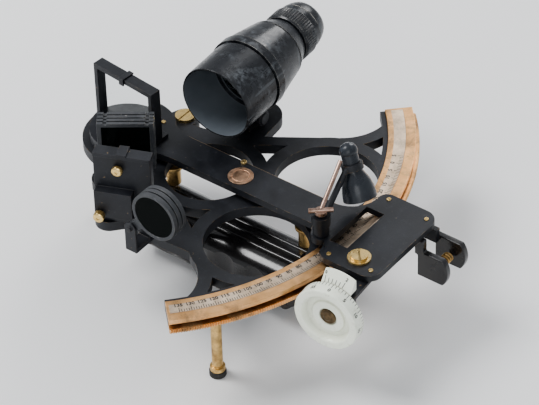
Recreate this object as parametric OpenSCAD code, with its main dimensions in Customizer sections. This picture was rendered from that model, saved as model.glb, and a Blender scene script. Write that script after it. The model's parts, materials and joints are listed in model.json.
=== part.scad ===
// Nautical sextant with three-ring frame, drum micrometer and scale lamp.
// It lies face up on its three legs. X runs along the telescope towards the eye,
// -Y runs from the pivot of the index arm to the limb, and Z is up.
// Modules place their shapes relative to the pivot, with z = 0 on the limb's face.

/* [Limb] */
// Outer radius of the limb
limb_r = 167.5; // [150:0.5:175]
// Radial width of the limb's brass band
limb_w = 16.5; // [12:0.5:18]
// Angle from the middle of the limb to each end
limb_half = 44.5; // [36:0.5:46]
// Height of the limb's face above the feet
limb_z = 60; // [55:1:70]
// Angle between the rack's teeth
tooth_pitch = 0.5; // [0.5:0.5:2]

/* [Frame] */
// Hole radius of the two lower rings
ring_r = 30.5; // [24:0.5:31]
// Hole radius of the upper ring
upper_ring_r = 26; // [20:0.5:27]
// Thickness of the casting
casting_t = 6.5; // [5:0.5:8]

/* [Index arm] */
// Width of the arm
arm_w = 22; // [18:1:24]
// Height of the arm's top above the limb's face
arm_top = 7; // [6:0.5:7.5]
// Width of the plate over the limb
plate_w = 67.5; // [60:0.5:70]

/* [Mirrors] */
// Length of the index mirror's frame
index_mirror_l = 47.6; // [40:0.2:48]
// Top of both mirrors above the limb's face
mirror_top = 45; // [42:1:48]
// Lean of the index mirror towards the horizon mirror
index_lean = 6; // [0:1:8]

/* [Telescope] */
// Outer radius of the telescope's hood
hood_r = 23.4; // [20:0.1:24]
// Height of the telescope's axis above the limb's face
scope_z = 34; // [33:0.5:38]
// Angle between the telescope's axis and X
scope_yaw = 3; // [0:0.5:4]

/* [Micrometer] */
// Radius of the micrometer drum
drum_r = 20.2; // [18:0.1:21]
// Radius over the worm's thread
worm_r = 8; // [7:0.1:8]
// Angle from the arm's middle to the point where the worm meets the rack
worm_angle = 5; // [4:0.5:6]

/* [Hidden] */
$fn = 64;

black = [0.07, 0.07, 0.08];
brass = [0.78, 0.60, 0.32];
silver = [0.80, 0.80, 0.78];
ivory = [0.88, 0.90, 0.84];
dark_glass = [0.05, 0.06, 0.05];

// heights of the flat pieces
band_t = 3.2;
casting_top = -1.5;
casting_bottom = casting_top - casting_t;
plate_t = 4;
bar_t = 4.5;
gap = 0.3;
hinge_clear = 0.05;

// frame
limb_in = limb_r - limb_w;
band_out = limb_r - 4;
rack_r = limb_r + 2.2;
rack_depth = 0.8;
ring_w = 8.5;
ring_x = 34;
ring_y = -117;
upper_ring_y = -57;
apex_r = 30;
apex_at = [2, 2];
apex_screw_at = [32.4, -13.6];
horn_at = [95, -84];
horn_r = 30.4;
horn_w = 8;
strut_w = 8;
strut_top = [31, -50];
strut_end = [65, -101];
leg_angle = 34;
leg_r = limb_in + 2;
apex_leg_y = 19.5;
pad_end = -214.5;

// pivot
bush_r = 7;
shaft_r = 4.55;
disc_r = 25.7;
pivot_y = -(pad_end + apex_at.y + apex_r) / 2;

// optics
horizon_at = [-57.6, -41.7];
path_angle = atan2(-horizon_at.y, -horizon_at.x);
horizon_turn = 22.5;
horizon_half = 17;

// telescope, from the middle of its mouth
scope_at = [18, -49, scope_z];
collar_from = 31.2;
collar_to = 37.2;
collar_bore = hood_r - 1.9;
collar_mid = (collar_from + collar_to) / 2;
post_at = [scope_at.x + collar_mid * cos(scope_yaw), scope_at.y + collar_mid * sin(scope_yaw)];
post_half = [2.9, 4];

// index shades, along the light path from the pivot
shade_step = 3.1;
shade_t = 2.2;
shade_u = 36;
shade_pin = [-16.5, 4.6];
shade_lug_r = 3.1;
shade_pin_r = 1.5;

// horizon shades
round_step = 3.7;
round_t = 2.9;
round_r = 15.3;
round_x = -75.3;
round_pin = [-64.5, 15];
round_reach = 22.5;
round_rest = 137.5;

// worm and drum, in a frame turned to the worm's place on the limb
worm_y = -(rack_r + gap + worm_r);
worm_z = -8;
spindle_r = 3;
drum_x0 = -75.5;
drum_x1 = -67;
vernier_low = 16.2;
carriage_at = [-20, -179];

// handle
grip_x = -12;
grip_w = 40;
grip_h = 32;
grip_z = -38;
grip_y0 = -134;
grip_y1 = -22;
cell_r = 8;

// lamp
lamp_at = [-15, -149];
lamp_top = [17.2, -144.4, 46.2];
lamp_aim = [-5, -13, -30];
lamp_tilt = atan2(norm([lamp_aim.x, lamp_aim.y]), -lamp_aim.z);
lamp_turn = atan2(lamp_aim.y, lamp_aim.x);

// ---------- helpers ----------

// everything is drawn around the pivot and then set on its feet
module place() translate([0, pivot_y, limb_z]) children();

// a bar with round ends
module link(p, q, w) {
    d = q - p;
    translate(p) rotate(atan2(d.y, d.x)) translate([0, 0.04 - w / 2]) square([norm(d), w - 0.08]);
    translate(p) circle(d = w);
    translate(q) circle(d = w);
}

// a stretch of a ring, centred on -Y
module sector(r1, r2, half, z0, z1)
    rotate([0, 0, -90 - half])
        rotate_extrude(angle = 2 * half, $fn = 180) translate([r1, z0]) square([r2 - r1, z1 - z0]);

module disc(r, z0, z1) translate([0, 0, z0]) cylinder(r = r, h = z1 - z0);

// a rod along X
module rod_x(r, x0, x1) translate([x0, 0, 0]) rotate([0, 90, 0]) cylinder(r = r, h = x1 - x0);

// a turned piece along X, from a list of [x, radius] points around its section
module turned_x(points) rotate([0, 90, 0]) rotate_extrude() polygon([for (p = points) [p[1], p[0]]]);

module block(lo, hi) translate(lo) cube(hi - lo);

// a rod between two points
module rod_to(p, q, r) {
    d = q - p;
    translate(p) rotate([0, acos(d.z / norm(d)), atan2(d.y, d.x)]) cylinder(r = r, h = norm(d));
}

module in_path() rotate([0, 0, 180 + path_angle]) children();
module in_horizon() translate([horizon_at.x, horizon_at.y, 0]) rotate([0, 0, horizon_turn]) children();
module in_scope() translate(scope_at) rotate([0, 0, scope_yaw]) children();
module at_post() translate([post_at.x, post_at.y, 0]) children();
module in_worm() rotate([0, 0, worm_angle]) translate([0, worm_y, worm_z]) children();
module in_index() rotate([0, 0, -index_lean]) children();
module in_lamp() translate(lamp_top) rotate([0, 180 - lamp_tilt, lamp_turn]) children();

// ---------- frame ----------

// a concave arm that runs from the side strut to the end of the limb
module horn() intersection() {
    translate(horn_at) difference() {
        circle(horn_r + horn_w);
        circle(horn_r);
    }
    along = (strut_end - strut_top) / norm(strut_end - strut_top);
    limb_end = [sin(limb_half - 0.4), -cos(limb_half - 0.4)];
    polygon([horn_at, horn_at + (horn_r + horn_w + 4) * [along.y, -along.x], [58, -128],
        (limb_r + 6) * limb_end, (limb_in - 12) * limb_end]);
}

module frame_outline() difference() {
    union() {
        translate(apex_at) circle(apex_r);
        polygon([[-34, -50], [34, -50], [26.5, -5], [-26.5, -5]]);
        link([12, -6], apex_screw_at, 17);
        link([-12, -7], [-38, -12], 20);
        translate([0, upper_ring_y]) circle(upper_ring_r + ring_w);
        for (side = [-1, 1]) {
            translate([side * ring_x, ring_y]) circle(ring_r + ring_w);
            mirror([side < 0 ? 1 : 0, 0]) {
                link(strut_top, strut_end, strut_w);
                horn();
            }
        }
        link([0, -108], [0, -149], 15);
        // lobes under the horizon mirror, its shades and the telescope
        link([-38, -50], [-50, -48], 28);
        link([-50, -45], [-63, -33], 17);
        link([-50, -54], [-59, -60], 15);
        link([-58, -62], [-57, -98], 13);
        link([38, -50], [60, -48], 28);
        intersection() {
            difference() {
                circle(band_out, $fn = 180);
                circle(limb_in - 3, $fn = 180);
            }
            polygon([for (a = [-limb_half, 0, limb_half]) 260 * [sin(a), -cos(a)], [0, 0]]);
        }
    }
    translate([0, upper_ring_y]) circle(upper_ring_r);
    for (side = [-1, 1]) translate([side * ring_x, ring_y]) circle(ring_r);
    circle(bush_r);
    translate(post_at) square(2 * post_half + [2, 2], center = true);
}

module frame_casting() color(black) difference() {
    translate([0, 0, casting_bottom]) linear_extrude(casting_t) frame_outline();
    // seat of the brass band
    difference() {
        disc(limb_r + 20, -band_t, 1, $fn = 180);
        disc(limb_in, -band_t - 1, 2, $fn = 180);
    }
}

module limb_arc() color(brass) difference() {
    sector(limb_in, limb_r, limb_half, -band_t, 0);
    sector(limb_in + 3.5, limb_in + 10.5, limb_half - 0.6, -0.6, 1);
}

module scale_strip() color(silver) sector(limb_in + 3.5, limb_in + 10.5, limb_half - 0.6, -0.6, 0);

module limb_rack() color(brass) {
    teeth = round(2 * limb_half / tooth_pitch);
    outer = [for (i = [0 : teeth]) each [
        let (a = -limb_half + i * tooth_pitch) (rack_r - rack_depth) * [sin(a), -cos(a)],
        if (i < teeth) let (a = -limb_half + (i + 0.5) * tooth_pitch) rack_r * [sin(a), -cos(a)]]];
    inner = [for (i = [teeth : -1 : 0]) let (a = -limb_half + i * tooth_pitch)
        (band_out + 0.03) * [sin(a), -cos(a)]];
    translate([0, 0, casting_bottom]) linear_extrude(2.8) polygon(concat(outer, inner));
}

module limb_screws() color(brass)
    for (a = [-38, -20, 0, 20, 38]) rotate([0, 0, a]) translate([0, -limb_in - 6, 0]) difference() {
        disc(2.6, casting_bottom - 1.2, casting_bottom);
        block([-3, -0.35, casting_bottom - 2], [3, 0.35, casting_bottom - 0.7]);
    }

module pivot_bearing() color(brass) difference() {
    union() {
        disc(bush_r, casting_bottom, casting_top + 1);
        disc(10, casting_bottom - 7, casting_bottom);
    }
    disc(shaft_r + hinge_clear, casting_bottom - 8, 1);
}

module pivot_cover() color(black) difference() {
    disc(13.5, -27, casting_bottom);
    disc(11.5, -25, 0);
}

module apex_screw() color(brass) translate(apex_screw_at) difference() {
    disc(6, casting_top, 0.5);
    block([-7, -0.5, 0], [7, 0.5, 1]);
}

module at_legs() {
    translate([0, apex_leg_y, 0]) children();
    for (a = [-leg_angle, leg_angle]) rotate([0, 0, a]) translate([0, -leg_r, 0]) children();
}

module support_legs() color(brass) at_legs() {
    disc(4.5, casting_bottom - 3, casting_bottom);
    disc(3.2, -53, casting_bottom - 3);
    disc(4.5, -56, -53);
}

module leg_feet() color(black) at_legs() disc(5, -limb_z, -56);

// ---------- handle ----------

module grip_section(w, h, r) {
    square([w, h - 2 * r], center = true);
    square([w - 2 * r, h], center = true);
    for (x = [-1, 1], y = [-1, 1]) translate([x * (w / 2 - r), y * (h / 2 - r)]) circle(r);
}

module handle_grip() color(black) difference() {
    translate([grip_x, grip_y1, grip_z]) rotate([90, 0, 0]) {
        translate([0, 0, 3]) linear_extrude(grip_y1 - grip_y0 - 6) grip_section(grip_w, grip_h, 13);
        linear_extrude(grip_y1 - grip_y0) grip_section(grip_w - 5, grip_h - 5, 11);
    }
    // grooves along the grip
    for (x = [-12 : 6 : 12], side = [-1, 1])
        translate([grip_x + x, grip_y0 - 1, grip_z + side * (grip_h / 2 + 0.4)]) rotate([-90, 0, 0])
            cylinder(r = 1.3, h = grip_y1 - grip_y0 + 2, $fn = 24);
    // finger hollows
    for (y = [grip_y0 + 22 : 22 : grip_y1 - 20])
        translate([grip_x - grip_w / 2 - 17, y, grip_z - grip_h]) cylinder(r = 19.5, h = 2 * grip_h);
    // cell chamber
    translate([grip_x, grip_y0 - 1, grip_z]) rotate([-90, 0, 0]) cylinder(r = cell_r + 0.4, h = 81);
    // switch well
    translate([grip_x + grip_w / 2, -44, grip_z]) rod_x(5.05, -7, 3);
}

module handle_posts() color(brass) for (y = [-29.5, -127]) translate([0, y, 0]) {
    disc(4.5, grip_z + 16, casting_bottom);
    disc(6.5, casting_bottom - 2, casting_bottom);
}

module handle_screws() color(brass) for (y = [-29.5, -127]) translate([0, y, 0]) difference() {
    disc(4, casting_top, -0.3);
    block([-5, -0.4, -0.8], [5, 0.4, 1]);
}

module battery() color(silver)
    translate([grip_x, grip_y0 + 8, grip_z]) rotate([-90, 0, 0]) cylinder(r = cell_r, h = 70);

module battery_cap() color(brass) translate([grip_x, grip_y0, grip_z]) rotate([90, 0, 0]) difference() {
    union() {
        translate([0, 0, gap]) cylinder(r = 11, h = 4);
        translate([0, 0, -7]) cylinder(r = cell_r + 0.35, h = 7.5);
    }
    translate([-12, -1, 3.3]) cube([24, 2, 2]);
}

module switch_button() color(black) translate([grip_x + grip_w / 2, -44, grip_z]) {
    rod_x(5, -5, 2);
    rod_x(4.2, 2, 2.8);
}

// ---------- telescope ----------

module telescope_bracket() color(black) at_post() difference() {
    union() {
        block([-6.5, -6.5, casting_top], [6.5, 6.5, 9]);
        block([-9, -6.5, casting_top], [11, 10, 1]);
    }
    block([-post_half.x - hinge_clear, -post_half.y - hinge_clear, -3],
        [post_half.x + hinge_clear, post_half.y + hinge_clear, 10]);
    translate([0, -3, 5]) rotate([90, 0, 0]) cylinder(r = 2.05, h = 10);
}

module telescope_clamp_screw() color(black) at_post()
    translate([0, -post_half.y - 0.35, 5]) rotate([90, 0, 0]) {
        cylinder(r = 2, h = 3);
        translate([0, 0, 2.6]) cylinder(r = 5, h = 4);
        translate([0, 0, 6.6]) cylinder(r = 3.8, h = 0.9);
    }

module telescope_collar() color(black) difference() {
    union() {
        in_scope() rod_x(hood_r + 0.9, collar_from, collar_to);
        at_post() block([-post_half.x, -post_half.y, casting_bottom + 1],
            [post_half.x, post_half.y, scope_z - hood_r + 1]);
    }
    in_scope() rod_x(collar_bore, collar_from - 1, collar_to + 1);
}

// an open tube whose last step is let into the collar
module telescope_hood() color(black) in_scope() turned_x([
    [0, hood_r - 1.2], [0, hood_r - 0.2], [0.6, hood_r], [30, hood_r], [30, hood_r - 1],
    [collar_from, hood_r - 1], [collar_from, hood_r - 5], [30.2, hood_r - 5], [30.2, hood_r - 1.6],
    [20, hood_r - 1.6]]);

module telescope_body() color(black) in_scope() turned_x([
    [collar_to, hood_r - 3.9], [collar_to, hood_r + 0.6], [61, 19.5], [61, 18.7], [62, 18.7],
    [62, 19.3], [72, 15], [72, 13.1], [61, 13.1], [58, 16]]);

module objective_lens() color([0.6, 0.75, 0.8, 0.4]) in_scope() turned_x([
    [32.4, 0], [33.4, 12], [34.2, collar_bore - 0.1], [36.4, collar_bore - 0.1], [37, 12], [37.4, 0]]);

// the tube slides in the body; its wide part is the focusing ring
module eyepiece_tube() color(black) in_scope() turned_x([
    [62, 11], [62, 13], [73.2, 13], [73.2, 15], [74, 16.3], [84, 16.3], [84.6, 15.6], [88, 15.2],
    [93, 14.2], [95.5, 13.2], [96.5, 12.5], [95, 9], [92.5, 8], [92.5, 11]]);

module eyepiece_lens() color([0.6, 0.75, 0.8, 0.4]) in_scope() turned_x([
    [89.2, 0], [88.4, 10.95], [91, 10.95], [91.8, 0]]);

// ---------- horizon mirror and its shades ----------

module horizon_bracket() color(black) in_horizon() {
    block([-8, -horizon_half, casting_top], [3.2, horizon_half, 3]);
    block([-10, -6.5, 2], [-4.2, 16, 20.5]);
    block([-4.2, -horizon_half, 2], [-2.9, horizon_half, mirror_top - 3]);
    for (side = [-1, 1]) block([-4.2, side * 16 - 1, 2], [1.2, side * 16 + 1, mirror_top - 3]);
    block([-5, -horizon_half, mirror_top - 3], [3.2, horizon_half, mirror_top - 0.5]);
}

module horizon_mirror() color(silver) in_horizon() block([-2.9, -15, 3], [0, 15, mirror_top - 3]);

module horizon_clip() color(black) in_horizon() {
    block([-5.2, -3, mirror_top - 0.5], [4.2, 3, mirror_top + 0.5]);
    block([3.2, -3, mirror_top - 6], [4.2, 3, mirror_top - 0.5]);
}

// a knurled head on a short screw, pointing away from the mirror
module adjusting_knob(r, h) color(brass) difference() {
    rod_x(r, -h, -0.3);
    for (a = [0 : 30 : 330]) rotate([a, 0, 0]) translate([0, r + 0.25, 0]) rod_x(0.5, -h - 1, -1.2);
}

module horizon_knob_upper() in_horizon() translate([-4.2, 2, mirror_top - 10]) adjusting_knob(3.3, 4.2);

module horizon_knob_lower() in_horizon() translate([-10, 12.5, 5]) adjusting_knob(3.3, 5.5);

module round_shade(i) {
    x = round_x + (i - 1) * round_step - round_t / 2;
    translate([x, round_pin.x, round_pin.y]) rotate([round_rest, 0, 0]) {
        color(black) difference() {
            union() {
                translate([0, round_reach, 0]) rod_x(round_r, 0, round_t);
                rod_x(shade_lug_r, 0, round_t);
                block([0, 0, -3], [round_t, 10, 3]);
            }
            rod_x(shade_pin_r + hinge_clear, -1, round_t + 1);
            translate([0, round_reach, 0]) rod_x(round_r - 2, -1, round_t + 1);
        }
        color(dark_glass) translate([0, round_reach, 0]) rod_x(round_r - 2, 0.5, round_t - 0.5);
    }
}

module horizon_shade_bracket() color(black) translate([round_x, 0, 0]) {
    for (x = [-6.8, 5.4]) translate([x, round_pin.x, 0]) {
        block([0, -4, casting_top], [1.4, 4, round_pin.y]);
        translate([0, 0, round_pin.y]) rod_x(4, 0, 1.4);
    }
    block([-6.8, round_pin.x - 4, casting_top], [13, round_pin.x + 4, 1.8]);
    translate([0, round_pin.x, round_pin.y]) rod_x(shade_pin_r, -8, 7.6);
}

module horizon_shade_1() round_shade(0);
module horizon_shade_2() round_shade(1);
module horizon_shade_3() round_shade(2);

// ---------- index shades ----------

module square_shade(i) in_path() translate([shade_u + (i - 1.5) * shade_step - shade_t / 2, 0, 0]) {
    color(black) difference() {
        union() {
            block([0, -17.2, 8], [shade_t, 15.8, 41]);
            block([0, -17.2, shade_pin.y], [shade_t, -13.4, 9]);
            translate([0, shade_pin.x, shade_pin.y]) rod_x(shade_lug_r, 0, shade_t);
        }
        translate([0, shade_pin.x, shade_pin.y]) rod_x(shade_pin_r + hinge_clear, -1, shade_t + 1);
        block([-1, -14.7, 10.5], [shade_t + 1, 13.3, 38.5]);
        // finger notches in the top edge
        for (v = [-13.5, 11]) block([-1, v, 40], [shade_t + 1, v + 2, 42]);
    }
    color(dark_glass) block([0.4, -14.7, 10.5], [shade_t - 0.4, 13.3, 38.5]);
}

module index_shade_bracket() color(black) in_path() {
    for (x = [-7.8, 6.4]) translate([shade_u + x, shade_pin.x, 0]) {
        block([0, -3.3, casting_top], [1.4, 3.3, shade_pin.y]);
        translate([0, 0, shade_pin.y]) rod_x(3.3, 0, 1.4);
    }
    block([shade_u - 7.8, shade_pin.x - 3.3, casting_top], [shade_u + 7.8, shade_pin.x + 3.3, 0.9]);
    translate([0, shade_pin.x, shade_pin.y]) rod_x(shade_pin_r, shade_u - 8.6, shade_u + 8.6);
}

module index_shade_1() square_shade(0);
module index_shade_2() square_shade(1);
module index_shade_3() square_shade(2);
module index_shade_4() square_shade(3);

// ---------- index arm ----------

module plate_outline() {
    translate([-31.5, -196]) {
        translate([9, 0]) square([plate_w - 18, 39]);
        translate([0, 9]) square([plate_w, 24]);
        for (x = [9, plate_w - 9]) translate([x, 9]) circle(9);
        for (x = [6, plate_w - 6]) translate([x, 33]) circle(6);
    }
    // fillets from the arm into the plate
    for (side = [-1, 1]) translate([side * arm_w / 2, -157.2]) difference() {
        translate([side > 0 ? -1 : -17, 0]) square([18, 18.2]);
        translate([side * 18, 18.2]) circle(18);
    }
}

module index_arm() color(black) difference() {
    union() {
        disc(disc_r, 1, arm_top);
        translate([0, 0, arm_top - bar_t]) linear_extrude(bar_t) {
            translate([-arm_w / 2, -170]) square([arm_w, 170]);
            // shoulders where the bar leaves the disc
            for (side = [-1, 1]) scale([side, 1]) polygon([[0, -15], [19, -17.3], [15.2, -20.7], [13, -25],
                [11.7, -30], [arm_w / 2, -38], [0, -38]]);
        }
        translate([0, 0, arm_top - plate_t]) linear_extrude(plate_t) {
            plate_outline();
            link([-8, -145], [lamp_at.x, lamp_at.y], 12);
        }
    }
    block([-17, -168.5, 0], [19, -156.5, 9]);
    translate([carriage_at.x, carriage_at.y, 0]) disc(spindle_r, 0, 9);
    disc(shaft_r, 0, 4);
}

module pivot_shaft() color(brass) {
    disc(shaft_r, -20, 4);
    disc(7, -19.5, casting_bottom - 7 - gap);
}

module arm_disc() color(brass) translate([-0.9, -81, 0]) difference() {
    disc(7.6, arm_top, arm_top + 0.6);
    difference() {
        disc(5.4, arm_top + 0.3, arm_top + 1);
        disc(5, arm_top, arm_top + 2);
    }
}

module arm_screws() color(brass) {
    for (p = [[13, -13], [-27, -163], [31.5, -163], [-25, -190.5], [29.5, -190.5]])
        translate([p.x, p.y, 0]) disc(1.4, arm_top, arm_top + 0.5);
    translate([10, -75, 0]) disc(1.8, arm_top, arm_top + 1.6);
}

module index_mark() color(silver) translate([-16.9, -168.5, 0]) rotate([90, 0, 90])
    linear_extrude(35.8) polygon([[0, 0.4], [8, 0.4], [8, 0.7], [2, 4.6], [0, 4.6]]);

module index_mirror_frame() color(black) in_index() {
    half = index_mirror_l / 2;
    block([-6.2, -half, arm_top], [6, half, 9.5]);
    block([-0.5, -half, 9], [1.2, half, mirror_top - 3]);
    for (side = [-1, 1]) translate([0, side * (half - 1.5), 0])
        block([-6.2, -1.5, 9], [-0.5, 1.5, mirror_top - 3]);
    block([-6.2, -half, mirror_top - 3], [1.2, half, mirror_top]);
    for (y = [-12, 12]) translate([0, y, 20]) rod_x(2.4, 1.2, 4.5);
}

module index_mirror() color(silver) in_index()
    block([-3, -index_mirror_l / 2 + 3, 9.5], [-0.5, index_mirror_l / 2 - 3, mirror_top - 3]);

module index_mirror_clip() color(black) in_index() {
    block([-7.2, -1.8, mirror_top], [1.8, 1.8, mirror_top + 1]);
    block([-7.2, -1.8, mirror_top - 4], [-6.2, 1.8, mirror_top]);
}

module carriage_screw() color(brass) translate([carriage_at.x, carriage_at.y, 0]) difference() {
    union() {
        disc(6.8, arm_top, arm_top + 1.2);
        disc(5, arm_top + 1.1, arm_top + 2.8);
        disc(spindle_r, -2, arm_top);
        disc(5, -2, 0.2);
    }
    rotate(41) block([-7, -0.6, arm_top + 1.6], [7, 0.6, arm_top + 3]);
}

// a finger pad, thicker at its middle
module finger_pad(x0, x1) intersection() {
    block([x0, pad_end, -23], [x1, -194, -5]);
    translate([0, -200.5, -14]) rod_x(14, x0, x1);
}

module fixed_pad() color(black) {
    finger_pad(15.5, 19.5);
    block([15.5, -198, -8], [19.5, -192, arm_top - plate_t]);
}

// ---------- lamp ----------

module lamp_post() color(black) translate([lamp_at.x, lamp_at.y, 0]) {
    disc(4.6, arm_top, 14);
    disc(2.5, 14, 21.5);
}

module lamp_arm() color(black) difference() {
    union() {
        translate([lamp_at.x, lamp_at.y, 0]) disc(5.4, 14 + gap, 20.5);
        rod_to([lamp_at.x + 3.5, lamp_at.y, 17.5], [10.6, -148.5, 36.6], 1.8);
        in_lamp() disc(6.4, 9.5, 13.5);
    }
    translate([lamp_at.x, lamp_at.y, 0]) disc(2.5 + hinge_clear, 10, 24);
    in_lamp() disc(4.95, 5, 20);
    in_lamp() disc(8, 13.5, 20);
}

// the bell points along local +Z, from its neck at the cap to its mouth
module lamp_shade() color(black) in_lamp() rotate_extrude() polygon([
    [3.9, 4], [4.9, 4], [4.9, 14], [6.4, 17], [8.4, 21], [9.6, 26], [10, 31],
    [9.2, 31], [8.8, 26], [7.6, 21.6], [5.6, 17.6], [3.9, 14.6]]);

module lamp_cap() color(black) in_lamp() rotate_extrude() polygon([
    [0, -2.6], [2.2, -2.3], [4, -1.2], [5.1, 0.6], [5.4, 2.4], [5, 4], [3.9, 4], [3.9, 9], [0, 9]]);

module lamp_bulb() color([0.9, 0.85, 0.6, 0.6]) in_lamp() {
    disc(3.5, 9, 13);
    translate([0, 0, 15.4]) sphere(r = 3.4);
}

module lamp_contact() color(brass) {
    rod_to([lamp_at.x - 4.6, lamp_at.y + 5.4, 24], [lamp_at.x + 4.6, lamp_at.y - 5.4, 24], 1.5);
    rod_to([lamp_at.x, lamp_at.y, 24], [9.9, -144.9, 41.4], 1.3);
    translate([lamp_at.x, lamp_at.y, 0]) disc(3.6, 21.7, 24);
}

// ---------- worm, drum and release ----------

module worm_carriage() color(black) difference() {
    union() {
        rotate([0, 0, worm_angle]) {
            block([-62, -189, 0.5], [18, -173.5, 2.5]);
            block([-62, worm_y - 8, worm_z - 7], [-55, worm_y + 6, 1]);
            block([13, worm_y - 8, worm_z - 7], [18, worm_y + 6, 1]);
            block([-65.2, worm_y - 9, 0.5], [-57, worm_y + 6, worm_z + vernier_low]);
        }
        block([30, -197, -8], [33.5, -184, 1]);
    }
    in_worm() rod_x(spindle_r + hinge_clear, -63, 19);
    translate([carriage_at.x, carriage_at.y, 0]) disc(spindle_r + hinge_clear, -3, 4);
}

module release_pad() color(black) finger_pad(33.5, 37.5);

module release_spring() color(brass) translate([0, -205.5, -14]) {
    rod_x(1.5, 19.5, 31.5);
    coil(20.4, 31.4, 6, 2.6, 0.7);
}

// a wire wound round X; its section is a hexagon
module coil(x0, x1, turns, r, wire) {
    steps = 16 * turns;
    points = [for (i = [0 : steps], k = [0 : 5])
        let (a = i * 22.5, rim = r + wire * cos(k * 60))
        [x0 + (x1 - x0) * i / steps + wire * sin(k * 60), rim * cos(a), rim * sin(a)]];
    sides = [for (i = [0 : steps - 1], k = [0 : 5]) each
        let (here = 6 * i + k, next = 6 * i + (k + 1) % 6)
        [[here, next + 6, here + 6], [here, next, next + 6]]];
    polyhedron(points, concat([[for (k = [5 : -1 : 0]) k]], sides, [[for (k = [0 : 5]) 6 * steps + k]]));
}

// a sloped plate beside the drum's rim, high enough to be read from the front
module vernier_plate() color(ivory) in_worm() intersection() {
    turned_x([[drum_x1 + gap, 15], [drum_x1 + gap, drum_r - 0.3], [drum_x1 + gap + 5, drum_r + 5.3],
        [drum_x1 + gap + 6.2, drum_r + 5.3], [drum_x1 + gap + 6.2, 15]]);
    block([drum_x1, -11.5, vernier_low], [drum_x1 + 8, 7.5, 30]);
}

module worm_shaft() color(brass) in_worm() {
    rod_x(spindle_r, drum_x0 + 3, 18.6);
    turned_x([[drum_x0 + 1.7, 0], [drum_x0 + 1.7, 1.4], [drum_x0 + 2.5, 2.6], [drum_x0 + 2.5, 4.2],
        [drum_x0 + 3.2, 4.9], [drum_x0 + 4, 4.9], [drum_x0 + 4, 0]]);
    thread = tan(tooth_pitch) * rack_r;
    turns = 17;
    turned_x(concat([[-16, 0], [-16, worm_r - 1]],
        [for (i = [0 : turns - 1]) each [[-16 + (i + 0.25) * thread, worm_r - 0.9],
            [-16 + (i + 0.5) * thread, worm_r], [-16 + (i + 0.75) * thread, worm_r]]],
        [[10, worm_r - 1], [10, 0]]));
}

// the face is dished inside its rim, with a raised ring around the shaft's screw head
module drum() color(ivory) in_worm() turned_x([
    [drum_x0 + 4, spindle_r], [drum_x0 + 4, 5.3], [drum_x0 + 3.1, 5.6], [drum_x0 + 3.1, 10],
    [drum_x0 + 4.1, 10.8], [drum_x0 + 4.1, 13.8], [drum_x0 + 0.6, 15.2], [drum_x0, 16],
    [drum_x0, drum_r - 0.6], [drum_x0 + 0.6, drum_r],
    [drum_x1, drum_r], [drum_x1, spindle_r]]);

place() frame_casting();
place() limb_arc();
place() scale_strip();
place() limb_rack();
place() limb_screws();
place() pivot_bearing();
place() pivot_cover();
place() apex_screw();
place() support_legs();
place() leg_feet();
place() handle_grip();
place() handle_posts();
place() handle_screws();
place() battery();
place() battery_cap();
place() switch_button();
place() telescope_bracket();
place() telescope_clamp_screw();
place() telescope_collar();
place() telescope_hood();
place() telescope_body();
place() objective_lens();
place() eyepiece_tube();
place() eyepiece_lens();
place() horizon_bracket();
place() horizon_mirror();
place() horizon_clip();
place() horizon_knob_upper();
place() horizon_knob_lower();
place() horizon_shade_bracket();
place() horizon_shade_1();
place() horizon_shade_2();
place() horizon_shade_3();
place() index_shade_bracket();
place() index_shade_1();
place() index_shade_2();
place() index_shade_3();
place() index_shade_4();
place() index_arm();
place() pivot_shaft();
place() arm_disc();
place() arm_screws();
place() index_mark();
place() index_mirror_frame();
place() index_mirror();
place() index_mirror_clip();
place() carriage_screw();
place() fixed_pad();
place() lamp_post();
place() lamp_arm();
place() lamp_shade();
place() lamp_cap();
place() lamp_bulb();
place() lamp_contact();
place() worm_carriage();
place() release_pad();
place() release_spring();
place() vernier_plate();
place() worm_shaft();
place() drum();
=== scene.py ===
"""Looks of the nautical sextant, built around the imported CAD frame. Lengths are in metres."""

import json
import math

import bmesh
import bpy
from mathutils import Matrix, Vector

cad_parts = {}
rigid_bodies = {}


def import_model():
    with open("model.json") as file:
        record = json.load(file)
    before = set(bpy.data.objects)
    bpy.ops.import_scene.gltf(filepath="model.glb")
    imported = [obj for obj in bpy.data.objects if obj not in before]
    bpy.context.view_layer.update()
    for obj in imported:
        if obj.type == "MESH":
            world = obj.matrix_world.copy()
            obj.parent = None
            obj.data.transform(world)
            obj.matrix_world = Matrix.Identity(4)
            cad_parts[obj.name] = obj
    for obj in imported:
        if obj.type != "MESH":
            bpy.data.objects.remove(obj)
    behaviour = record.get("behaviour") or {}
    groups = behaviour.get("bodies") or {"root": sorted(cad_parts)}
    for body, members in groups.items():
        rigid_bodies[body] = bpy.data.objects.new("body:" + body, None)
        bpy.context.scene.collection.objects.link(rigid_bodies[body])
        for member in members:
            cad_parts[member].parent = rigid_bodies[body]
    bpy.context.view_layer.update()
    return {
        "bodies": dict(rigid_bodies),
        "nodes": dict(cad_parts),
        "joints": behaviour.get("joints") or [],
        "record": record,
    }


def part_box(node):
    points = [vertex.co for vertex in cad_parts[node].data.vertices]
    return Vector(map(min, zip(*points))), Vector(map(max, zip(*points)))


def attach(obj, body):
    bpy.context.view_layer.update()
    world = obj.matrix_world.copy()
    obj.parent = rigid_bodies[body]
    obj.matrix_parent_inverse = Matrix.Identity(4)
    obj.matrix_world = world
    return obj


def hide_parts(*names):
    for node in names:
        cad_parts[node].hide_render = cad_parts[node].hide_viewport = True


MM = 0.001
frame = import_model()
NODES = frame["nodes"]
BODY_OF = {n: b for b, ns in frame["record"]["behaviour"]["bodies"].items() for n in ns}
SLOT_OF = {s["node"]: s["material_slot"] for s in frame["record"]["subparts"]}
JOINT = {j["name"]: j for j in frame["joints"]}

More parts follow.
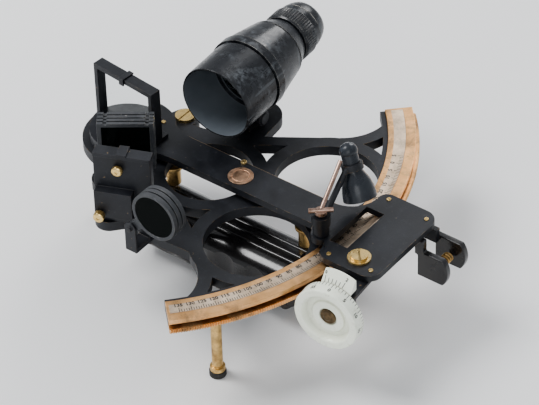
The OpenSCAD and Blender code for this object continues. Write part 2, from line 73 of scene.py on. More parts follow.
# the pivot of the index arm, on the limb's face
PIVOT = Vector(JOINT["index_swing"]["pos_m"])
PIVOT.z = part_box("limb_arc")[1].z


def placed(x, y, z, turn=0.0, tilt=0.0):
    """A frame in millimetres from the pivot, turned about Z and then tilted about its own Y."""
    turned = Matrix.Rotation(math.radians(turn), 4, "Z") @ Matrix.Rotation(math.radians(tilt), 4, "Y")
    return Matrix.Translation(PIVOT) @ Matrix.Scale(MM, 4) @ Matrix.Translation((x, y, z)) @ turned


# frames that pieces and masks are drawn in, in millimetres
UPWARDS = Matrix.Rotation(math.radians(-90), 4, "Y")
ON_LIMB = placed(0, 0, 0)
# X runs along the telescope to the eye
SCOPE = placed(18, -49, 34, 3)
# at the horizon mirror's foot; the mirror's knobs point along -X
HORIZON_X = -57.6
HORIZON_Y = -41.7
HORIZON = placed(HORIZON_X, HORIZON_Y, 0, 22.5)
# X runs from the index mirror to the horizon mirror
LIGHT_PATH = placed(0, 0, 0, 180 + math.degrees(math.atan2(-HORIZON_Y, -HORIZON_X)))
# X runs along the worm, away from the drum
WORM = placed(0, 0, 0, 5) @ Matrix.Translation((0, -178, -8))
# X runs along the lamp's axis
LAMP = placed(17.2, -144.4, 46.2, 249, 155.1) @ UPWARDS


# ---------- materials ----------

MATERIALS = {}


class Tree:
    """A material's node tree, with short ways to add nodes and links. Textures are placed in metres."""

    def __init__(self, name):
        self.name = name
        self.material = bpy.data.materials.new(name)
        self.material.use_nodes = True
        self.nodes = self.material.node_tree.nodes
        self.links = self.material.node_tree.links
        self.nodes.clear()
        self.out = self.nodes.new("ShaderNodeOutputMaterial")
        self.bsdf = self.nodes.new("ShaderNodeBsdfPrincipled")
        self.links.new(self.bsdf.outputs[0], self.out.inputs[0])
        self.coords = self.nodes.new("ShaderNodeTexCoord").outputs["Object"]

    def put(self, node, **inputs):
        """Sets or links a node's inputs, each given by its name or, as _0 or _1, by its place."""
        for name, value in inputs.items():
            key = int(name[1:]) if name[1:].isdigit() else name.replace("_", " ")
            socket = node.inputs[key]
            if isinstance(value, bpy.types.NodeSocket):
                self.links.new(value, socket)
            else:
                socket.default_value = value
        return node

    def noise(self, scale, detail, rough, distortion=0.0, stretch=None):
        """Soft noise, scale per metre; stretch is a factor for each axis."""
        place = self.coords
        if stretch:
            mapping = self.nodes.new("ShaderNodeMapping")
            self.links.new(self.coords, mapping.inputs["Vector"])
            mapping.inputs["Scale"].default_value = stretch
            place = mapping.outputs[0]
        node = self.put(self.nodes.new("ShaderNodeTexNoise"), Scale=scale, Detail=detail,
                        Roughness=rough, Distortion=distortion, Vector=place)
        return node.outputs["Fac"]

    def cells(self, scale):
        """The distance from the middle of small cells, scale per metre."""
        node = self.put(self.nodes.new("ShaderNodeTexVoronoi"), Scale=scale, Vector=self.coords)
        return node.outputs["Distance"]

    def ramp(self, fac, *stops):
        """Greys or colours at places along fac."""
        node = self.nodes.new("ShaderNodeValToRGB")
        self.links.new(fac, node.inputs[0])
        ramp = node.color_ramp
        while len(ramp.elements) < len(stops):
            ramp.elements.new(0.5)
        for element, (at, value) in zip(ramp.elements, stops):
            element.position = at
            element.color = (value, value, value, 1) if isinstance(value, float) else (*value, 1)
        return node.outputs[0]

    def mix(self, fac, a, b):
        """Colour a where fac is 0 and b where it is 1."""
        node = self.nodes.new("ShaderNodeMix")
        node.data_type = "RGBA"
        self.put(node, _0=fac)
        for place, value in ((6, a), (7, b)):
            if isinstance(value, bpy.types.NodeSocket):
                self.links.new(value, node.inputs[place])
            else:
                node.inputs[place].default_value = (*value, 1)
        return node.outputs[2]

    def math(self, operation, a, b=0.0):
        """A maths node's result; products, sums and differences stay from 0 to 1."""
        node = self.nodes.new("ShaderNodeMath")
        node.operation = operation
        node.use_clamp = operation in ("MULTIPLY", "ADD", "SUBTRACT")
        self.put(node, _0=a, _1=b)
        return node.outputs[0]

    def edges(self, radius):
        """1 where the surface turns within the radius, 0 on the flat."""
        bevel = self.put(self.nodes.new("ShaderNodeBevel"), Radius=radius)
        bevel.samples = 6
        geometry = self.nodes.new("ShaderNodeNewGeometry")
        dot = self.nodes.new("ShaderNodeVectorMath")
        dot.operation = "DOT_PRODUCT"
        self.links.new(bevel.outputs[0], dot.inputs[0])
        self.links.new(geometry.outputs["Normal"], dot.inputs[1])
        turned = self.math("SUBTRACT", 1.0, dot.outputs["Value"])
        return self.ramp(turned, (0.02, 0.0), (0.2, 1.0))

    def along(self, axis, low, high):
        """0 below low and 1 above high, in metres along one axis of the row frame."""
        split = self.put(self.nodes.new("ShaderNodeSeparateXYZ"), _0=self.coords)
        span = self.nodes.new("ShaderNodeMapRange")
        self.put(span, _0=split.outputs[axis], _1=low, _2=high)
        return span.outputs[0]

    def crevices(self, distance, low, high):
        """1 deep in a hollow no wider than distance, 0 on an open face; ambient occlusion, used to paint
        shade.
        """
        node = self.put(self.nodes.new("ShaderNodeAmbientOcclusion"), Distance=distance)
        node.samples = 6
        return self.ramp(node.outputs["AO"], (low, 1.0), (high, 0.0))

    def bump(self, height, strength, distance):
        """Roughens the surface by height, which is worth distance metres at 1."""
        node = self.nodes.new("ShaderNodeBump")
        self.put(node, Strength=strength, Distance=distance, Height=height)
        self.links.new(node.outputs[0], self.bsdf.inputs["Normal"])

    def finish(self, **inputs):
        """Sets the shader's inputs and files the material under its name."""
        self.put(self.bsdf, **inputs)
        MATERIALS[self.name] = self.material


# paint wears off within this many metres of an edge
EDGE_RADIUS = 0.0006


def enamel(name, paint, painted_sheen, metal=(0.55, 0.36, 0.16), wear=0.5, crackle=1.0, gloss=0.38, line=None):
    """Black paint over brass: fine crackle, patches of painted sheen, dusty patches, rubbed edges and a few
    specks.

    line is (axis, from, to): the paint along edges in that stretch is rubbed through to bright metal.
    """
    t = Tree(name)
    # the patches of paler grey are painted sheen
    patch = t.ramp(t.noise(38, 5, 0.6), (0.35, 0.0), (0.7, 1.0))
    dust = t.ramp(t.noise(210, 7, 0.72), (0.55, 0.0), (0.8, 0.5))
    paint_sheen_and_dust = t.mix(dust, t.mix(patch, paint, painted_sheen), tuple(3.2 * c for c in painted_sheen))
    rubbed = t.ramp(t.noise(170, 6, 0.7), (0.48, 0.0), (0.6, 1.0))
    edge = t.edges(EDGE_RADIUS)
    bare = t.math("MULTIPLY", edge, t.math("MULTIPLY", rubbed, wear))
    if line:
        axis, start, end = line
        fade = 0.0003
        stretch = t.math("MULTIPLY", t.along(axis, start, start + fade), t.along(axis, end, end - fade))
        bare = t.math("MAXIMUM", bare, t.math("MULTIPLY", edge, stretch))
    specks = t.ramp(t.noise(420, 3, 0.5), (0.735, 0.0), (0.76, 1.0))
    bare = t.math("MAXIMUM", bare, t.math("MULTIPLY", specks, wear))
    colour = t.mix(bare, paint_sheen_and_dust, metal)
    rough = t.ramp(t.noise(75, 5, 0.65), (0.3, gloss), (0.75, gloss + 0.2))
    skin = t.math("ADD", t.math("MULTIPLY", t.cells(1300), 0.5), t.noise(2600, 3, 0.6))
    t.bump(skin, 0.3 * crackle, 0.00014)
    t.finish(Base_Color=colour, Roughness=rough, Metallic=t.math("MULTIPLY", bare, 0.9))


def scope_paint(name):
    """Old satin paint on the telescope, scuffed to pale grey in patches, rings and scratches."""
    t = Tree(name)
    cloud = t.ramp(t.noise(60, 8, 0.7, 0.8), (0.49, 0.0), (0.66, 1.0))
    fine = t.ramp(t.noise(300, 7, 0.74), (0.45, 0.0), (0.6, 1.0))
    scuffed = t.math("MULTIPLY", cloud, fine)
    streaks = t.ramp(t.noise(300, 3, 0.5, 0.3, (1, 0.09, 0.09)), (0.63, 0.0), (0.72, 1.0))
    scratches = t.ramp(t.noise(260, 2, 0.4, 0.2, (0.08, 1, 1)), (0.70, 0.0), (0.74, 1.0))
    lines = t.math("MULTIPLY", t.math("MAXIMUM", streaks, scratches), 0.6)
    worn = t.math("MAXIMUM", scuffed, lines)
    haze = t.ramp(t.noise(24, 4, 0.6), (0.35, 0.0), (0.7, 1.0))
    paint = t.mix(worn, t.mix(haze, (0.007, 0.008, 0.011), (0.018, 0.021, 0.026)), (0.115, 0.128, 0.142))
    rubbed = t.ramp(t.noise(240, 5, 0.7), (0.40, 0.0), (0.54, 1.0))
    bare = t.math("MULTIPLY", t.edges(EDGE_RADIUS), rubbed)
    colour = t.mix(bare, paint, (0.46, 0.44, 0.40))
    smooth = t.ramp(t.noise(150, 5, 0.6), (0.3, 0.2), (0.7, 0.38))
    rough = t.math("ADD", smooth, t.math("MULTIPLY", worn, 0.22))
    t.bump(t.noise(900, 4, 0.6), 0.12, 0.0001)
    t.finish(Base_Color=colour, Roughness=rough, Metallic=t.math("MULTIPLY", bare, 0.8))


def metal(name, bright, dull, scale=120, rough=(0.26, 0.5), bumpy=0.1, grime=0.0, hollow=0.0):
    """Handled metal: bright and tarnished patches, spots and scratches, and grime in soft patches.

    Slots and corners narrower than hollow are darkened with painted shade as well.
    """
    t = Tree(name)
    patch = t.ramp(t.noise(scale, 6, 0.65), (0.36, 0.0), (0.68, 1.0))
    colour = t.mix(patch, bright, dull)
    spots = t.ramp(t.noise(scale * 5, 3, 0.5), (0.66, 0.0), (0.74, 1.0))
    colour = t.mix(t.math("MULTIPLY", spots, 0.5), colour, tuple(0.35 * c for c in dull))
    smudges = t.ramp(t.noise(scale * 0.45, 8, 0.72, 0.5), (0.5, 0.0), (0.66, 1.0))
    grime_and_shade = t.math("MULTIPLY", smudges, grime)
    # painted shade: slots and corners narrower than hollow go dark, from ambient occlusion
    if hollow:
        grime_and_shade = t.math("MAXIMUM", grime_and_shade, t.math("MULTIPLY", t.crevices(hollow, 0.3, 0.75), 0.85))
    colour = t.mix(grime_and_shade, colour, (0.035, 0.028, 0.02))
    scratched = t.ramp(t.noise(scale * 4, 2, 0.4, 0.1, (0.12, 1, 1)), (0.66, 0.0), (0.72, 1.0))
    handled = t.ramp(t.noise(scale * 1.7, 5, 0.6), (0.3, rough[0]), (0.75, rough[1]))
    roughness = t.math("ADD", handled, t.math("MULTIPLY", scratched, 0.15))
    t.bump(t.math("ADD", t.noise(1400, 3, 0.5), t.math("MULTIPLY", scratched, 0.4)), bumpy, 0.00008)
    # metallic where neither grime nor painted shade lies
    clean = t.math("SUBTRACT", 1.0, grime_and_shade) if grime else 1.0
    t.finish(Base_Color=colour, Roughness=roughness, Metallic=clean)


def plastic(name, colour, tint, rough, scale, bumpy, coat=0.0, stain_and_shade_colour=None):
    """A moulded or painted surface: soft patches of a second tint, stains in spots, and painted shade deep in
    recesses.
    """
    t = Tree(name)
    patch = t.ramp(t.noise(scale, 5, 0.6), (0.3, 0.0), (0.75, 1.0))
    base = t.mix(patch, colour, tint)
    if stain_and_shade_colour:
        spots = t.ramp(t.noise(scale * 3.4, 7, 0.7), (0.56, 0.0), (0.72, 1.0))
        # painted shade deep in recesses, such as the drum's dished face, from ambient occlusion
        hollow_shade = t.crevices(0.006, 0.35, 0.85)
        stain_and_shade_mask = t.math("MAXIMUM", t.math("MULTIPLY", spots, 0.5), t.math("MULTIPLY", hollow_shade, 0.75))
        base = t.mix(stain_and_shade_mask, base, stain_and_shade_colour)
    roughness = t.ramp(t.noise(scale * 2.3, 4, 0.6), (0.3, rough), (0.75, rough + 0.16))
    t.bump(t.noise(700, 3, 0.5), bumpy, 0.0001)
    t.finish(Base_Color=base, Roughness=roughness, Coat_Weight=coat, Coat_Roughness=0.12)


def glass(name, colour, rough=0.02, transmission=1.0, ior=1.5):
    """Smeared glass with a little dust on it."""
    t = Tree(name)
    smear = t.ramp(t.noise(90, 4, 0.6), (0.4, rough), (0.8, rough + 0.06))
    dust = t.ramp(t.noise(520, 4, 0.7), (0.62, 0.0), (0.8, 1.0))
    dusty = tuple(min(1.0, 0.06 + 1.4 * c) for c in colour)
    tinted = t.mix(t.math("MULTIPLY", dust, 0.25), colour, dusty)
    t.finish(Base_Color=tinted, Roughness=smear, Transmission_Weight=transmission, IOR=ior)


def silvered(name):
    """Mirror silver with dull spots."""
    t = Tree(name)
    spots = t.ramp(t.noise(240, 5, 0.6), (0.62, 0.0), (0.74, 1.0))
    colour = t.mix(spots, (0.84, 0.86, 0.86), (0.55, 0.56, 0.55))
    smear = t.ramp(t.noise(60, 4, 0.6), (0.4, 0.015), (0.8, 0.07))
    t.finish(Base_Color=colour, Roughness=smear, Metallic=1.0)


# the stretch along X that holds the index arm's rubbed edge, on the telescope's side
ARM_EDGE = (0, PIVOT.x + 0.0102, PIVOT.x + 0.0114)

# the record's material slots
enamel("black_enamel", (0.0075, 0.0085, 0.0115), (0.019, 0.021, 0.027))
enamel("lamp_enamel", (0.013, 0.016, 0.021), (0.032, 0.038, 0.047), wear=0.3, crackle=0.25, gloss=0.2)
scope_paint("scope_enamel")
metal("limb_brass", (0.92, 0.57, 0.29), (0.68, 0.38, 0.17), 85, (0.28, 0.48), grime=0.7)
metal("brass", (0.80, 0.56, 0.25), (0.42, 0.26, 0.11), 210, (0.24, 0.5), grime=0.35)
metal("silver_scale", (0.82, 0.68, 0.54), (0.56, 0.44, 0.33), 130, (0.34, 0.56), grime=0.4)
metal("cell_steel", (0.6, 0.6, 0.62), (0.4, 0.4, 0.42), 90, (0.25, 0.4))
plastic("foot_rubber", (0.02, 0.02, 0.02), (0.045, 0.043, 0.04), 0.65, 120, 0.3)
plastic("bakelite", (0.008, 0.008, 0.01), (0.02, 0.018, 0.017), 0.16, 70, 0.04, 0.5)
# stains, and painted shade in the drum's recesses
plastic("ivory", (0.94, 0.97, 0.86), (0.86, 0.90, 0.77), 0.28, 90, 0.03, 0.25, (0.40, 0.38, 0.26))
silvered("mirror")
glass("lens_glass", (0.82, 0.9, 0.92))
glass("shade_glass", (0.004, 0.006, 0.0055), 0.03, 0.2, 1.12)

# looks of their own within a slot
enamel("arm_enamel", (0.0075, 0.0085, 0.0115), (0.017, 0.019, 0.025), (0.60, 0.42, 0.24), wear=0.4,
       gloss=0.33, line=ARM_EDGE)
enamel("shade_rim", (0.028, 0.031, 0.036), (0.065, 0.068, 0.074), (0.52, 0.50, 0.46), wear=0.95, crackle=0.3)
# the inside of the hood: a pale blue-grey that is painted light, where light falls into it
plastic("hood_inside_painted_light", (0.105, 0.123, 0.143), (0.150, 0.172, 0.193), 0.6, 45, 0.1)
plastic("lamp_inside", (0.5, 0.5, 0.47), (0.36, 0.36, 0.34), 0.4, 120, 0.05)
plastic("ink", (0.012, 0.012, 0.012), (0.04, 0.036, 0.03), 0.5, 300, 0.02)
# painted shade in the knurl's slots and the face's recess
metal("knob_brass", (0.88, 0.66, 0.31), (0.76, 0.55, 0.24), 150, (0.22, 0.34), bumpy=0.02, grime=0.12,
      hollow=0.0016)
metal("hub_brass", (0.20, 0.145, 0.085), (0.07, 0.05, 0.032), 240, (0.3, 0.5), grime=0.5)
metal("disc_bronze", (0.84, 0.56, 0.39), (0.62, 0.38, 0.25), 190, (0.28, 0.5), grime=0.2)
metal("contact_brass", (0.56, 0.40, 0.33), (0.25, 0.165, 0.125), 230, (0.24, 0.44))


# ---------- pieces built here ----------


class Piece:
    """A mesh put together from turned, cut and lettered parts in a frame of its own."""

    def __init__(self, name, frame):
        self.name = name
        self.frame = frame
        self.bm = bmesh.new()

    def lathe(self, profile, steps, ribs=None, hollow=False):
        """A turned shape along X from (x, radius) points, closed at its ends or hollow like a ring.

        ribs is (from x, to x, every, depth): a knurl cut into that stretch.
        """
        rings = []
        for x, radius in profile:
            ring = []
            for i in range(steps):
                cut = ribs is not None and ribs[0] <= x <= ribs[1] and i % ribs[2] == 0
                r = radius - (ribs[3] if cut else 0)
                a = 2 * math.pi * i / steps
                ring.append(self.bm.verts.new((x, r * math.cos(a), r * math.sin(a))))
            rings.append(ring)
        pairs = list(zip(rings, rings[1:]))
        if hollow:
            pairs.append((rings[-1], rings[0]))
        for one, two in pairs:
            for i in range(steps):
                j = (i + 1) % steps
                self.bm.faces.new((one[i], two[i], two[j], one[j]))
        if not hollow:
            self.bm.faces.new(rings[0])
            self.bm.faces.new(list(reversed(rings[-1])))

    def prism(self, outline, low, high, chamfer=0.0):
        """An outline in x and y raised from low to high, with its upper edge chamfered."""
        middle = sum((Vector(p) for p in outline), Vector((0, 0))) / len(outline)
        rings = []
        for z, inset in ((low, 0.0), (high - chamfer, 0.0), (high, chamfer)):
            ring = []
            for p in outline:
                out = Vector(p) - middle
                q = middle + out * (1 - inset / max(out.length, 1e-6))
                ring.append(self.bm.verts.new((q.x, q.y, z)))
            rings.append(ring)
        n = len(outline)
        for one, two in zip(rings, rings[1:]):
            for i in range(n):
                j = (i + 1) % n
                self.bm.faces.new((one[i], one[j], two[j], two[i]))
        self.bm.faces.new(list(reversed(rings[0])))
        self.bm.faces.new(rings[-1])

    def slotted_head(self, x, y, low, radius, height, turn):
        """A low screw head: a disc with two half discs on it, and the driver's slot between them."""

        def outline(angles):
            return [(x + radius * math.cos(a), y + radius * math.sin(a)) for a in angles]

        self.prism(outline([math.radians(15 * k) for k in range(24)]), low, low + height * 0.45)
        # the slot is 0.32 of the radius wide
        half_slot = math.asin(0.16)
        for side in (0, math.pi):
            arc = [turn + side + half_slot + (math.pi - 2 * half_slot) * k / 12 for k in range(13)]
            self.prism(outline(arc), low + height * 0.4, low + height, height * 0.3)

    def tube(self, path, radius):
        """A round wire through the points of a path."""
        sides = 10
        aslant = Vector((1, 0.01, 0.02))
        rings = []
        for i, p in enumerate(path):
            ahead = (path[min(i + 1, len(path) - 1)] - path[max(i - 1, 0)]).normalized()
            across = ahead.cross(aslant).normalized()
            other = ahead.cross(across)
            ring = []
            for k in range(sides):
                a = 2 * math.pi * k / sides
                ring.append(self.bm.verts.new(p + radius * (across * math.cos(a) + other * math.sin(a))))
            rings.append(ring)
        for one, two in zip(rings, rings[1:]):
            for i in range(sides):
                j = (i + 1) % sides
                self.bm.faces.new((one[i], one[j], two[j], two[i]))
        self.bm.faces.new(list(reversed(rings[0])))
        self.bm.faces.new(rings[-1])

    def mark(self, where, u0, u1, v0, v1):
        """A thin painted bar; where(u, v) gives its points."""
        corners = ((u0, v0), (u1, v0), (u1, v1), (u0, v1))
        self.bm.faces.new([self.bm.verts.new(where(u, v)) for u, v in corners])

    def figures(self, text, size, where):
        """Painted figures centred on (0, 0); where(u, v) gives their points."""
        for face in figure_faces(text):
            self.bm.faces.new([self.bm.verts.new(where(u * size, v * size)) for u, v in face])

    def done(self, body, look, replaces=(), smooth=35.0):
        """Makes the object in the row frame, on its body; edges sharper than smooth degrees stay sharp."""
        bmesh.ops.recalc_face_normals(self.bm, faces=self.bm.faces)
        self.bm.transform(self.frame)
        mesh = bpy.data.meshes.new(self.name)
        self.bm.to_mesh(mesh)
        self.bm.free()
        obj = bpy.data.objects.new(self.name, mesh)
        bpy.context.scene.collection.objects.link(obj)
        mesh.materials.append(MATERIALS[look])
        smooth_shading(obj, smooth)
        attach(obj, body)
        if replaces:
            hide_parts(*replaces)


FIGURES = {}


def figure_faces(text):
    """The flat faces of a number at size 1, as lists of (u, v)."""
    if text not in FIGURES:
        curve = bpy.data.curves.new("figures", "FONT")
        curve.body = text
        curve.align_x = "CENTER"
        curve.align_y = "CENTER"
        curve.resolution_u = 3
        # a little bolder than the plain font
        curve.offset = 0.03
        obj = bpy.data.objects.new("figures", curve)
        bpy.context.scene.collection.objects.link(obj)
        bpy.context.view_layer.update()
        mesh = bpy.data.meshes.new_from_object(obj.evaluated_get(bpy.context.evaluated_depsgraph_get()))
        FIGURES[text] = [[(mesh.vertices[i].co.x, mesh.vertices[i].co.y) for i in poly.vertices]
                         for poly in mesh.polygons]
        bpy.data.meshes.remove(mesh)
        bpy.data.objects.remove(obj)
        bpy.data.curves.remove(curve)
    return FIGURES[text]


def scale_marks():
    """The arc's degrees: a line for each, a longer one and a figure at every fifth."""
    # the zero's angle from the limb's middle; a degree of the scale is half a degree of the arc
    zero = 25.5
    lines_end = 161.3
    figures_middle = 155.8
    above = Vector((0, 0, 0.03))
    piece = Piece("scale_marks", ON_LIMB)
    for degree in range(-5, 136):
        a = math.radians(zero - degree / 2)
        out = Vector((math.sin(a), -math.cos(a), 0))
        side = Vector((math.cos(a), math.sin(a), 0))
        fifth = degree % 5 == 0
        piece.mark(lambda u, v: out * v + side * u + above, -0.19, 0.19, 157.9 if fifth else 159.2, lines_end)
        if fifth:
            piece.figures(str(abs(degree)), 3.5, lambda u, v: out * (figures_middle - v) + side * u + above)
    piece.done("frame", "ink")


def drum_marks():
    """Sixty lines round the drum's rim, with a figure at every fifth."""
    radius = 20.24
    lines_end = -67.15
    figures_middle = -72.4
    piece = Piece("drum_marks", WORM)
    for minute in range(60):
        turn = math.radians(minute * 6 + 3)
        fifth = minute % 5 == 0

        def where(u, v):
            a = turn + u / radius
            return Vector((v, -radius * math.sin(a), radius * math.cos(a)))

        piece.mark(where, -0.15, 0.15, -70.4 if fifth else -69.3, lines_end)
        if fifth:
            piece.figures(str(minute), 3.3, lambda u, v: where(u, v + figures_middle))
    piece.done("drum", "ink")


def vernier_marks():
    """Six lines and two figures on the slope beside the drum."""
    foot = -66.74
    foot_radius = 19.95
    run = 5
    rise = 5.6
    slope = 7.5
    figures_middle = 0.74
    piece = Piece("vernier_marks", WORM)
    for k in range(6):
        turn = math.radians(-15 + k * 6.4)

        def where(u, v):
            # v is 0 at the slope's foot beside the drum and 1 at its top
            r = foot_radius + v * rise
            a = turn + u / r
            return Vector((foot + v * run, -r * math.sin(a), r * math.cos(a)))

        last = k in (0, 5)
        piece.mark(where, -0.16, 0.16, 0.02, 0.5 if last else 0.36)
        if last:
            piece.figures("2" if k else "0", 2.6, lambda u, v: where(u, figures_middle + v / slope))
    piece.done("worm_carriage", "ink")


def index_line():
    """The line on the sloped plate in the arm's window."""
    piece = Piece("index_line", ON_LIMB)

    def where(u, v):
        # v is 0 at the plate's lower edge and grows up the slope
        return Vector((u, -160.45 - 6 * v, 0.75 + 3.9 * v))

    piece.mark(where, -0.12, 0.12, 0.0, 0.75)
    for side in (-1, 1):
        piece.mark(where, side * 0.9 - 0.08, side * 0.9 + 0.08, 0.0, 0.3)
    piece.done("index_arm", "ink")


def eyepiece():
    """The focusing tube, with a knurled ring and a rounded eye cup."""
    piece = Piece("eyepiece_tube_turned", SCOPE)
    grip = [(74.2, 16.0), (74.5, 16.3), (83.4, 16.3), (83.7, 16.0)]
    piece.lathe([(62, 13), (73.2, 13), (73.2, 15.3), (73.7, 15.6)] + grip + [
        (84.1, 15.7), (84.5, 15.35), (88, 15.2), (88.2, 14.95), (88.6, 14.95), (88.8, 15.15), (91, 14.75),
        (93, 14.2), (94.6, 13.6), (95.8, 13.0), (96.4, 12.3), (96.45, 11.6), (95.9, 10.4), (94.6, 9.0),
        (92.5, 8.2), (92.5, 11), (62, 11)], steps=180, ribs=(74.4, 83.6, 3, 0.45), hollow=True)
    piece.done("eyepiece", "scope_enamel", replaces=["eyepiece_tube"], smooth=28)


def knob(node, frame, height):
    """A knurled adjusting knob with rounded corners and a shallow round recess in its face."""
    piece = Piece(node + "_knurled", frame)
    piece.lathe([(-0.3, 1.9), (-0.9, 1.9), (-1.0, 2.7), (-1.3, 3.1), (-1.6, 3.3), (-height + 0.9, 3.3),
                 (-height + 0.6, 3.15), (-height + 0.25, 2.75), (-height, 2.2), (-height, 1.0),
                 (-height + 0.35, 0.9), (-height + 0.4, 0.3)],
                steps=90, ribs=(-height + 0.7, -1.4, 3, 0.4))
    piece.done(BODY_OF[node], "knob_brass", replaces=[node], smooth=30)


def arm_screws():
    """Five small screws in the index arm and a taller one beside the bronze disc."""
    arm_top = 7
    piece = Piece("arm_screws_slotted", ON_LIMB)
    places = ((13, -13, 0.4), (-27, -163, 1.9), (31.5, -163, 1.1), (-25, -190.5, 2.6), (29.5, -190.5, 0.2))
    for x, y, turn in places:
        piece.slotted_head(x, y, arm_top, 1.4, 0.6, turn)
    piece.slotted_head(10, -75, arm_top, 1.8, 1.5, 0.9)
    piece.done("index_arm", "knob_brass", replaces=["arm_screws"])


def spring():
    """The release spring round its guide rod."""
    piece = Piece("release_spring_wound", placed(0, -205.5, -14))
    turns = 6
    steps_per_turn = 24
    steps = steps_per_turn * turns
    start = 20.4
    length = 11
    radius = 2.6
    path = []
    for i in range(steps + 1):
        a = 2 * math.pi * i / steps_per_turn
        path.append(Vector((start + length * i / steps, radius * math.cos(a), radius * math.sin(a))))
    piece.tube(path, 0.6)
    piece.lathe([(19.5, 1.5), (31.2, 1.5), (31.5, 1.2)], steps=24)
    piece.done("index_arm", "brass", replaces=["release_spring"], smooth=60)


# ---------- pieces made from the CAD nodes ----------


def hide_seams(bm):
    """Joins the tessellated faces of a CAD mesh back into clean ones."""
    same_point = 2e-6
    flat = math.radians(0.6)
    bmesh.ops.remove_doubles(bm, verts=bm.verts, dist=same_point)
    bmesh.ops.dissolve_limit(bm, angle_limit=flat, verts=bm.verts, edges=bm.edges)


def smooth_shading(obj, angle):
    """Shades the object smooth, except across edges sharper than angle degrees."""
    for poly in obj.data.polygons:
        poly.use_smooth = True
    bpy.context.view_layer.objects.active = obj
    obj.select_set(True)
    bpy.ops.object.shade_auto_smooth(angle=math.radians(angle))
    obj.select_set(False)


def finished(node, width, look, second=None, where=None):
    """A copy of a CAD node with its sharp edges eased by width millimetres.

    where(points, normal) picks the faces that get the second look.
    """
    sharp = 32
    bm = bmesh.new()
    bm.from_mesh(NODES[node].data)
    hide_seams(bm)
    mesh = bpy.data.meshes.new(node + "_finished")
    bm.normal_update()
    for face in bm.faces:
        face.material_index = 1 if where and where([v.co for v in face.verts], face.normal) else 0
    bm.to_mesh(mesh)
    bm.free()
    obj = bpy.data.objects.new(node + "_finished", mesh)
    bpy.context.scene.collection.objects.link(obj)
    bevel = obj.modifiers.new("ease", "BEVEL")
    bevel.width = width * MM
    bevel.segments = 3 if width > 0.3 else 2
    bevel.limit_method = "ANGLE"
    bevel.angle_limit = math.radians(sharp)
    bevel.use_clamp_overlap = True
    bevel.miter_outer = "MITER_ARC"
    mesh.materials.append(MATERIALS[look])
    if second:
        mesh.materials.append(MATERIALS[second])
    smooth_shading(obj, sharp)
    weighted = obj.modifiers.new("flat faces", "WEIGHTED_NORMAL")
    weighted.keep_sharp = True
    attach(obj, BODY_OF[node])
    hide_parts(node)


def inside_of(frame):
    """True for faces of a turned shape that look at its axis."""
    back = frame.inverted()

    def where(points, normal):
        middle = back @ (sum(points, Vector()) / len(points))
        n = (back.to_3x3() @ normal).normalized()
        out = Vector((0, middle.y, middle.z))
        return out.dot(n) < -0.2 * out.length

    return where


def facing(frame, test):
    """True for faces square to the frame's X whose points all pass the test."""
    back = frame.inverted()

    def where(points, normal):
        n = (back.to_3x3() @ normal).normalized()
        return abs(n.x) > 0.9 and all(test(back @ p) for p in points)

    return where


def square_glass(p):
    """Within a square shade's frame."""
    return -14.8 < p.y < 13.4 and 10.4 < p.z < 38.6


def round_glass(p):
    """Within a round shade's ring, whose centre is out from the pin at the angle where the shades rest."""
    pin = Vector((-64.5, 15))
    reach = 22.5
    rest = math.radians(137.5)
    middle = pin + reach * Vector((math.cos(rest), math.sin(rest)))
    return (Vector((p.y, p.z)) - middle).length < 13.5


# how far each node's edges are eased, in millimetres
EASE = {
    "frame_casting": 0.7, "limb_arc": 0.3, "limb_screws": 0.2, "pivot_bearing": 0.3, "pivot_cover": 0.6,
    "apex_screw": 0.4, "support_legs": 0.3, "leg_feet": 0.6, "handle_grip": 0.8, "handle_posts": 0.3,
    "handle_screws": 0.25, "battery_cap": 0.4, "switch_button": 0.4, "telescope_bracket": 0.5,
    "telescope_clamp_screw": 0.4, "telescope_collar": 0.35, "telescope_body": 0.3, "horizon_bracket": 0.35,
    "horizon_clip": 0.2, "horizon_shade_bracket": 0.3, "index_shade_bracket": 0.25, "index_arm": 0.45,
    "arm_disc": 0.12, "index_mark": 0.08, "index_mirror_frame": 0.3, "index_mirror_clip": 0.2,
    "carriage_screw": 0.3, "fixed_pad": 0.8, "release_pad": 0.8, "lamp_post": 0.4, "lamp_arm": 0.3,
    "lamp_cap": 0.2, "lamp_contact": 0.3, "lamp_bulb": 0.1, "worm_carriage": 0.4, "vernier_plate": 0.2,
    "worm_shaft": 0.4, "drum": 0.35,
}

# looks that aren't the node's slot
OWN_LOOK = {
    "apex_screw": "knob_brass", "handle_screws": "knob_brass", "carriage_screw": "knob_brass",
    "telescope_collar": "scope_enamel", "index_arm": "arm_enamel", "arm_disc": "disc_bronze",
    "lamp_contact": "contact_brass", "worm_shaft": "hub_brass",
}

# the CAD nodes that pieces built here stand in for
MADE_HERE = ("eyepiece_tube", "horizon_knob_upper", "horizon_knob_lower", "arm_screws", "release_spring")


def finish_nodes():
    """Gives every other CAD node an eased copy, or its material alone where it has no edges to ease."""
    for name, node in NODES.items():
        if name in EASE:
            finished(name, EASE[name], OWN_LOOK.get(name, SLOT_OF[name]))
        elif name.startswith("index_shade_"):
            finished(name, 0.2, "shade_rim", "shade_glass", facing(LIGHT_PATH, square_glass))
        elif name.startswith("horizon_shade_"):
            finished(name, 0.3, "shade_rim", "shade_glass", facing(ON_LIMB, round_glass))
        elif name == "telescope_hood":
            finished(name, 0.25, "scope_enamel", "hood_inside_painted_light", inside_of(SCOPE))
        elif name == "lamp_shade":
            finished(name, 0.15, "lamp_enamel", "lamp_inside", inside_of(LAMP))
        elif name not in MADE_HERE:
            node.data.materials.clear()
            node.data.materials.append(MATERIALS[SLOT_OF[name]])
            for poly in node.data.polygons:
                poly.material_index = 0


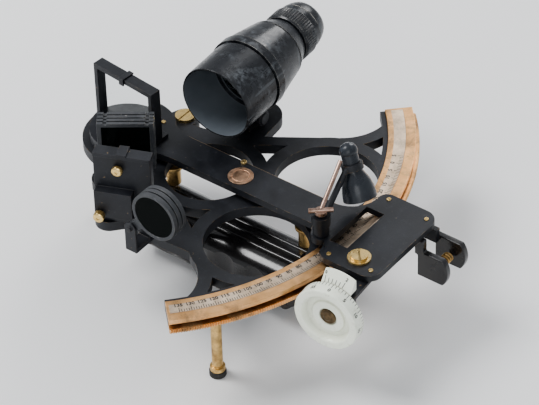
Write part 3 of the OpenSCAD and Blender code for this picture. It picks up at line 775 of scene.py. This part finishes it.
finish_nodes()
scale_marks()
drum_marks()
vernier_marks()
index_line()
eyepiece()
knob("horizon_knob_upper", HORIZON @ Matrix.Translation((-4.2, 2, 35)), 4.2)
knob("horizon_knob_lower", HORIZON @ Matrix.Translation((-10, 12.5, 5)), 5.5)
arm_screws()
spring()


# ---------- floor, light and camera ----------

CAMERA_AT = Vector((-1.075, -0.8485, 1.192))
AIM = Vector((0.004, -0.0065, 0.052))
LENS = 205.0
ROLL = math.radians(-1.7)


def add_floor():
    """A plain pale floor with a faint tone of its own."""
    bpy.ops.mesh.primitive_plane_add(size=8)
    floor = bpy.context.object
    floor.name = "floor"
    t = Tree("paper_floor")
    tone = t.ramp(t.noise(3, 3, 0.5), (0.3, 0.86), (0.7, 0.9))
    t.finish(Base_Color=tone, Roughness=0.8)
    floor.data.materials.append(t.material)


def add_area(name, place, size, power):
    """A round soft light aimed at the sextant's middle."""
    light = bpy.data.lights.new(name, "AREA")
    light.shape = "DISK"
    light.size = size
    light.energy = power
    obj = bpy.data.objects.new(name, light)
    bpy.context.scene.collection.objects.link(obj)
    obj.location = place
    middle = Vector((0, 0, 0.05))
    obj.rotation_euler = (middle - Vector(place)).to_track_quat("-Z", "Y").to_euler()


def add_camera():
    """The camera at CAMERA_AT, aimed at AIM and rolled by ROLL."""
    data = bpy.data.cameras.new("camera")
    data.sensor_width = 36.0
    data.lens = LENS
    data.clip_start = 0.05
    data.clip_end = 30
    obj = bpy.data.objects.new("camera", data)
    bpy.context.scene.collection.objects.link(obj)
    forward = (AIM - CAMERA_AT).normalized()
    level = forward.cross(Vector((0, 0, 1))).normalized()
    up = level.cross(forward)
    right = level * math.cos(ROLL) + up * math.sin(ROLL)
    up = right.cross(forward)
    turn = Matrix((right, up, -forward)).transposed()
    obj.matrix_world = Matrix.Translation(CAMERA_AT) @ turn.to_4x4()
    bpy.context.scene.camera = obj


def add_world():
    """Pale, even light from all round."""
    world = bpy.data.worlds.new("studio")
    bpy.context.scene.world = world
    world.use_nodes = True
    back = world.node_tree.nodes["Background"]
    back.inputs[0].default_value = (0.93, 0.96, 1.0, 1)
    back.inputs[1].default_value = 0.55


add_floor()
add_camera()
add_world()
add_area("key", (-0.5, 1.1, 1.7), 1.0, 26)
add_area("fill", (-1.5, -0.9, 1.0), 1.2, 7)
add_area("rim", (1.5, 0.3, 1.0), 0.8, 9)
bpy.context.scene.view_settings.view_transform = "AgX"
bpy.context.scene.view_settings.look = "AgX - Medium High Contrast"
